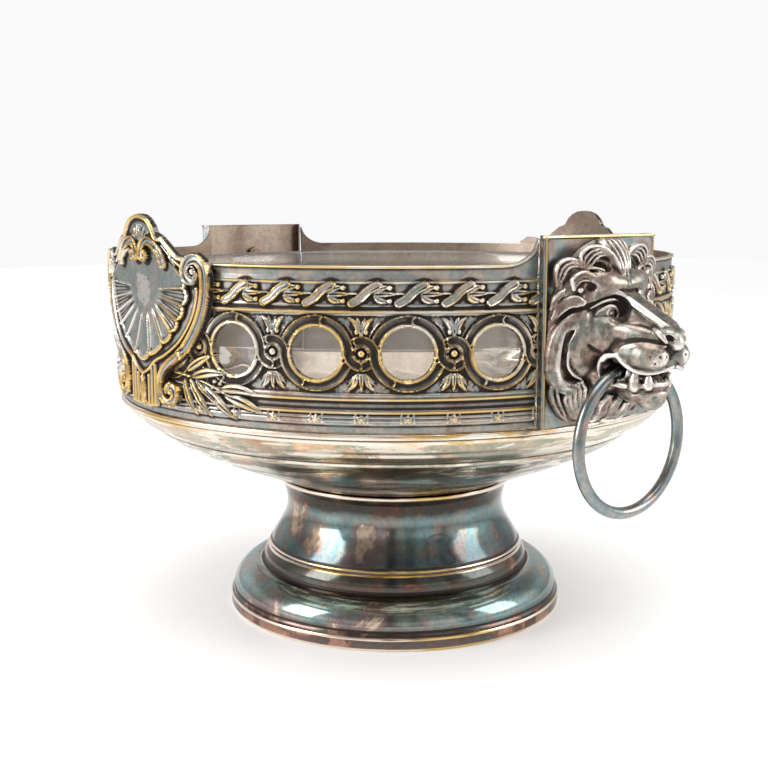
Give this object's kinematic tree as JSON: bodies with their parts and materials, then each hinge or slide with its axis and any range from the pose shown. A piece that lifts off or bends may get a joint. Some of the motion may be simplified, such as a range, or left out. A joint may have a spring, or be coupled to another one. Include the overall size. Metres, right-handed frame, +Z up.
{
  "type": "punch bowl",
  "caption": "Footed metal punch bowl with pierced wall, shell cartouches, two lion masks with swinging ring handles and a lift-out glass liner.",
  "frame": {"origin": "middle of the foot's flat underside, on the surface the bowl stands on", "axes": "+Z up, +X through the middle of one lion mask, +Y through the middle of one shell cartouche; the front cartouche faces -Y"},
  "size_m": [0.4028, 0.3106, 0.2174],
  "materials": {
    "spun_silver": "worn polished silver plate on spun brass, tarnished in rainbow patches",
    "worn_brass": "silver plate worn through to brass along the edge",
    "stamped_silver": "stamped plate with dark tarnish in the ground and brass showing on the ridges",
    "cast_silver": "plated casting, bright on the high places and dark in the hollows",
    "handle_silver": "smooth plated bar with blue and copper tarnish",
    "fixing_brass": "plain unpolished brass",
    "clear_glass": "clear pressed glass with a polished rim"
  },
  "bodies": {
    "bowl": {"foot_skirt": "spun_silver", "foot_neck": "spun_silver", "basin": "spun_silver", "belt_ring": "worn_brass", "pierced_panel_back_right": "stamped_silver", "pierced_panel_back_left": "stamped_silver", "pierced_panel_front_left": "stamped_silver", "pierced_panel_front_right": "stamped_silver", "lion_plate_right": "stamped_silver", "lion_plate_left": "stamped_silver", "lion_head_right": "cast_silver", "lion_head_left": "cast_silver", "lion_jaw_right": "cast_silver", "lion_jaw_left": "cast_silver", "mask_stud_right_lower": "fixing_brass", "mask_stud_right_upper": "fixing_brass", "mask_stud_left_lower": "fixing_brass", "mask_stud_left_upper": "fixing_brass", "mask_nut_right_lower": "fixing_brass", "mask_nut_right_upper": "fixing_brass", "mask_nut_left_lower": "fixing_brass", "mask_nut_left_upper": "fixing_brass", "shell_cartouche_front": "cast_silver", "shell_cartouche_back": "cast_silver", "foot_bolt": "fixing_brass", "foot_bridge": "fixing_brass", "foot_washer": "fixing_brass", "foot_nut": "fixing_brass"},
    "ring_right": {"ring_handle_right": "handle_silver"},
    "ring_left": {"ring_handle_left": "handle_silver"},
    "liner": {"glass_liner": "clear_glass"}
  },
  "joints": [
    {"name": "ring_right_swing", "type": "hinge", "parent": "bowl", "child": "ring_right", "pos_m": [0.1714, 0, 0.1499], "axis": [0, -1, 0], "range_deg": [-12, 75]},
    {"name": "ring_left_swing", "type": "hinge", "parent": "bowl", "child": "ring_left", "pos_m": [-0.1714, 0, 0.1499], "axis": [0, 1, 0], "range_deg": [-12, 75]},
    {"name": "liner_lift", "type": "slide", "parent": "bowl", "child": "liner", "axis": [0, 0, 1], "range_m": [0, 0.14]}
  ]
}
